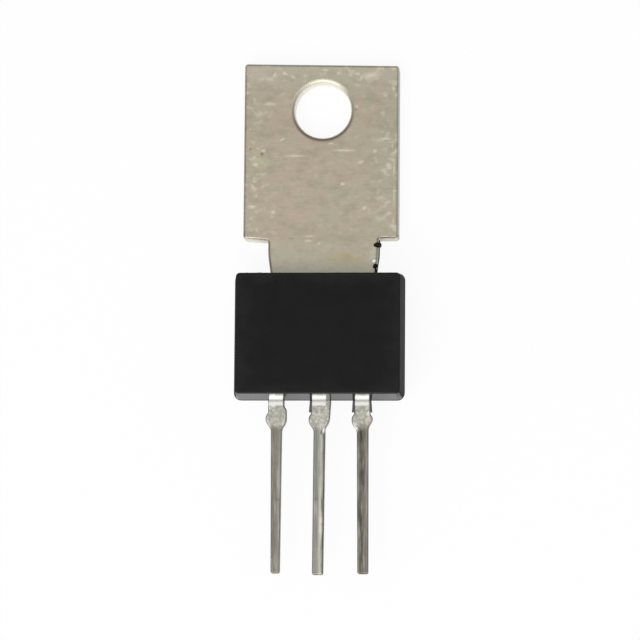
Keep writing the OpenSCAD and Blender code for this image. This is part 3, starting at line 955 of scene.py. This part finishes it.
def roughen(bm, amount, grain_mm, seed):
    """Pushes every point about by noise. Each seed reads the noise at a place of its own."""
    for vert in bm.verts:
        vert.co += noise.noise_vector(vert.co / grain_mm + Vector((seed, 3.7 * seed, 0))) * amount
    bmesh.ops.triangulate(bm, faces=bm.faces)


def rough_box(low, high, amount, seed, cuts=4):
    bm = bmesh.new()
    low, high = Vector(low), Vector(high)
    bmesh.ops.create_cube(bm, size=1.0)
    bmesh.ops.subdivide_edges(bm, edges=bm.edges, cuts=cuts, use_grid_fill=True)
    bmesh.ops.scale(bm, vec=high - low, verts=bm.verts)
    bmesh.ops.translate(bm, vec=(low + high) / 2, verts=bm.verts)
    roughen(bm, amount, 0.2, seed)
    return to_object(bm, "lump")


def rough_drop(centre, radii, turn_deg, amount, seed):
    bm = bmesh.new()
    spin = Matrix.Rotation(math.radians(turn_deg), 3, "Z")
    bmesh.ops.create_icosphere(bm, subdivisions=3, radius=1.0)
    bmesh.ops.scale(bm, vec=radii, verts=bm.verts)
    bmesh.ops.rotate(bm, cent=(0, 0, 0), matrix=spin, verts=bm.verts)
    bmesh.ops.translate(bm, vec=centre, verts=bm.verts)
    roughen(bm, amount, 0.15, seed)
    return to_object(bm, "lump")


def film(outline, low, high, amount, seed):
    """A thin skin of flash: an outline between two heights, with uneven corners."""
    bm, _ = flat_face(outline, low)
    extrude_up(bm, high - low)
    roughen(bm, amount, 0.2, seed)
    return to_object(bm, "lump")


def pin_mark(x, y):
    bm = bmesh.new()
    bmesh.ops.create_cone(bm, cap_ends=True, segments=48, radius1=PIN_R, radius2=PIN_R, depth=1.0)
    bmesh.ops.translate(bm, vec=(x, y, PIN_DEPTH - 0.5), verts=bm.verts)
    return to_object(bm, "pin")


neck_wall, foot_wall = NECK_SHIFT + NECK_HALF, NECK_SHIFT + FOOT_HALF
NECK_FILM = [(foot_wall - 0.1, NECK_ROOT), (foot_wall + 0.03, NECK_ROOT), (neck_wall + 0.025, BEND_Y),
             (neck_wall + 0.045, EAR_Y - 0.02), (neck_wall - 0.1, EAR_Y - 0.02),
             (neck_wall - 0.1, BEND_Y)]
# Each drop: its middle, its half sizes, its turn, how rough it is and its seed. The last one joins
# the drop above it to the block.
DROPS = [
    ((3.27, -8.17, TAB_T - 0.06), (0.26, 0.16, 0.12), 22, 0.03, 1),
    ((3.44, -8.14, TAB_T - 0.35), (0.10, 0.16, 0.40), 0, 0.03, 2),
    ((3.17, -9.44, TAB_T - 0.07), (0.16, 0.17, 0.13), -20, 0.03, 3),
    ((3.23, -9.95, TAB_T - 0.16), (0.10, 0.55, 0.18), 6, 0.02, 8),
]
GATE_SCAR = (-4.575, BODY_TOP - 0.45, 1.96), (-3.475, BODY_TOP + 0.04, PARTING)
# The films beside the leads: the lead's middle, the side, the film's width at the block and at its
# end, and its seed.
LEAD_FILMS = [(0.0, -1, 0.05, 0.13, 5), (LEAD_PITCH, -1, 0.07, 0.14, 6), (LEAD_PITCH, 1, 0.03, 0.10, 7)]

lumps = [film(NECK_FILM, TAB_T * 0.25, TAB_T * 0.6, 0.008, 0)]
lumps += [rough_drop(*drop) for drop in DROPS]
lumps.append(rough_box(*GATE_SCAR, 0.03, 4))
for x, side, at_block, at_end, seed in LEAD_FILMS:
    outline = [(x + side * (SHOULDER_W / 2 - 0.04), BODY_FOOT + 0.3),
               (x + side * (SHOULDER_W / 2 - 0.04), BODY_FOOT - FLASH_L),
               (x + side * (SHOULDER_W / 2 + at_end), BODY_FOOT - FLASH_L),
               (x + side * (SHOULDER_W / 2 + at_block), BODY_FOOT + 0.3)]
    lumps.append(film(outline[::side], LEAD_BACK + 0.05, PARTING - 0.06, 0.01, seed))
pins = [pin_mark(side * (BODY_HALF - PIN_INSET), BODY_FOOT + PIN_INSET) for side in (-1, 1)]
block_part = to_object(block, "block_part")
lumpy = to_object(joined(block_part, lumps, "UNION"), "lumpy")
marked = to_object(joined(lumpy, pins, "DIFFERENCE"), "marked")
discard(block_part, lumpy, *lumps, *pins)
print("block with its traces:", len(marked.data.polygons), "faces")

# %% [markdown]
# ## Take the metal out of the block
#
# All that the epoxy surrounds is first joined into one shape, because the chip, its solder and the
# wires touch each other, and cutting with them one by one would leave edges with three faces. One
# Boolean then leaves epoxy that fits everything inside it.
#
# The back of the block and the back of the tab are one plane, so the copy of the frame that cuts is
# stretched a little through it.

# %% Take the metal out of the block
THROUGH = 0.02


def merged_copy(node):
    """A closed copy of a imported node, in mm, to cut with."""
    bm = bmesh.new()
    bm.from_mesh(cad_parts[node].data)
    bmesh.ops.scale(bm, vec=(1 / MM,) * 3, verts=bm.verts)
    bmesh.ops.remove_doubles(bm, verts=bm.verts, dist=SNAP)
    return to_object(bm, "inner_" + node)


frame_cutter = frame_mesh.copy()
for vert in frame_cutter.verts:
    if vert.co.z < THROUGH:
        vert.co.z -= THROUGH
inner = [to_object(bm, "inner") for bm in (frame_cutter, *[bm.copy() for bm in lead_meshes.values()])]
inner += [merged_copy(node) for node in ("silicon_die", "die_solder", "emitter_wire", "base_wire")]
core = to_object(joined(inner[0], inner[1:], "UNION"), "core")
body_mesh = joined(marked, [core], "DIFFERENCE")
discard(marked, core, *inner)
print("body", measured(body_mesh))

# %% [markdown]
# ## Finish the pieces
#
# Each mesh is shrunk to metres, gets its materials, and is tied to the frame: it rides on the root, and
# the imported node that it replaces is hidden. Shading is smooth up to a small angle and weighted by
# area, so that bevels look round and flats stay flat.
#
# A face of the block takes its finish from where it looks. The front and the back are eroded, the
# two sides are satin, and the two ends, with the corners, are polished. Whatever stands out past the
# end with the leads is flash. On the frame, the middle lead is dipped and the rest is plated.

# %% Finish the pieces
SMOOTH_UP_TO = math.radians(28)
PLATED, DIPPED = range(2)


def finish_piece(bm, name, materials, node):
    bmesh.ops.scale(bm, vec=(MM,) * 3, verts=bm.verts)
    for edge in bm.edges:
        edge.smooth = len(edge.link_faces) == 2 and edge.calc_face_angle(0) < SMOOTH_UP_TO
    for face in bm.faces:
        face.smooth = True
    made = to_object(bm, name)
    for material in materials:
        made.data.materials.append(material)
    normals = made.modifiers.new("flats stay flat", "WEIGHTED_NORMAL")
    normals.keep_sharp = True
    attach(made, "root")
    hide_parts(node)
    print(name, "has", len(made.data.polygons), "faces")


def block_finish(face):
    if face.calc_center_median().y < BODY_FOOT - 0.02:
        return FILM
    if abs(face.normal.z) > 0.9:
        return FACE
    return SIDE if abs(face.normal.x) > 0.7 else WALL


for face in body_mesh.faces:
    face.material_index = block_finish(face)
for face in frame_mesh.faces:
    face.material_index = DIPPED if face.calc_center_median().y < BODY_FOOT + 0.5 else PLATED
finish_piece(frame_mesh, "stamped_frame", [TIN_PLATE, SOLDER_DIPS["collector"]],
             "collector_frame")
for name, bm in lead_meshes.items():
    finish_piece(bm, "dipped_" + name, [SOLDER_DIPS[name]], name)
finish_piece(body_mesh, "epoxy_block", EPOXIES, "moulded_body")

# %% [markdown]
# ## What is sealed inside
#
# The chip, its solder and the bond wires are inside the block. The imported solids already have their
# shapes, so they only get their finishes: polished silicon, solder that froze dull, and wire that
# was drawn bright. A soft cloud between two close tones keeps each from looking flat.

# %% What is sealed inside


def inner_finish(name, dark, light, rough, metallic=1.0):
    material, add = new_material(name)
    cloud = grain(add, place_in_mm(add), 0.2)
    colour = add("ValToRGB", [cloud], [(0.3, dark), (0.7, light)])
    shader = add("BsdfPrincipled", {"Base Color": colour, "Metallic": metallic, "Roughness": rough})
    add("OutputMaterial", [shader])
    return material


INNER = {
    "silicon_die": inner_finish("polished silicon", "#4A4E58", "#5A5F6B", 0.12, metallic=0.6),
    "die_solder": inner_finish("soft solder, reflowed", "#8B8C8D", "#A5A6A6", 0.4),
    "emitter_wire": inner_finish("aluminium wire, drawn", "#C6C8CB", "#D8D9DB", 0.3),
    "base_wire": inner_finish("aluminium wire, drawn fine", "#C6C8CB", "#D8D9DB", 0.3),
}
for node, material in INNER.items():
    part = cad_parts[node]
    part.data.materials.clear()
    part.data.materials.append(material)
print("inner pieces dressed:", sorted(INNER))

# %% [markdown]
# ## Table and light
#
# The table is a plain sheet of white card that runs on past the view. For the camera it is nearly
# pure white, with a small share of its own shading, which keeps the part's faint shadow. Half of
# that white shows in glossy metal too.
#
# A broad lamp stands behind the camera and towards the leads, so faces that look towards the leads
# are bright and those that look away from them are dark. A second one, wide and weak, hangs high
# over the tab's end and lifts the dark ones a little. The world fills the rest at a low, even level.

# %% Table and light
TABLE_SIZE = 3.0
TABLE_DROP = 0.02
SEEN_WHITE = 0.92
GLOSSY_WHITE = 0.5
FILL = 0.45


def lamp(name, place_mm, size_mm, radiance, aim_mm=(0, -12.8, 1)):
    """A square area lamp. Its power follows from how bright its face is to look at."""
    data = bpy.data.lights.new(name, "AREA")
    data.shape = "SQUARE"
    data.size = size_mm * MM
    data.energy = radiance * math.pi * data.size ** 2
    made = bpy.data.objects.new(name, data)
    made.location = Vector(place_mm) * MM
    aim = Vector(aim_mm) * MM - made.location
    made.rotation_euler = aim.to_track_quat("-Z", "Y").to_euler()
    bpy.context.scene.collection.objects.link(made)


def white_card():
    material, add = new_material("white card")
    matt = add("BsdfDiffuse", {"Color": (0.86, 0.86, 0.86, 1)})
    white = add("Emission", {"Color": (1, 1, 1, 1), "Strength": 1.0})
    rays = add("LightPath").outputs
    seen = add("Math", [rays["Is Camera Ray"], SEEN_WHITE], operation="MULTIPLY")
    mirrored = add("Math", [rays["Is Glossy Ray"], GLOSSY_WHITE], operation="MULTIPLY")
    share = add("Math", [seen, mirrored], operation="ADD")
    add("OutputMaterial", [add("MixShader", [share, matt, white])])
    return material


table = bmesh.new()
bmesh.ops.create_grid(table, x_segments=1, y_segments=1, size=TABLE_SIZE / 2)
bmesh.ops.translate(table, vec=(0, 0, -TABLE_DROP * MM), verts=table.verts)
table_top = to_object(table, "table_top")
table_top.data.materials.append(white_card())

lamp("key_softbox", (-60, -190, 290), 260, 4.5)
lamp("overhead_softbox", (0, 60, 420), 320, 0.5)

world = bpy.data.worlds.new("studio")
bpy.context.scene.world = world
world.use_nodes = True
world.node_tree.nodes.clear()
add = partial(add_node, world.node_tree)
seen = add("LightPath").outputs["Is Camera Ray"]
dim = add("Background", {"Color": (1, 1, 1, 1), "Strength": FILL})
bright = add("Background", {"Color": (1, 1, 1, 1), "Strength": 1.0})
add("OutputWorld", [add("MixShader", [seen, dim, bright])])
bpy.context.scene.view_settings.view_transform = "Standard"
print("table and light ready, seen as", bpy.context.scene.view_settings.view_transform)
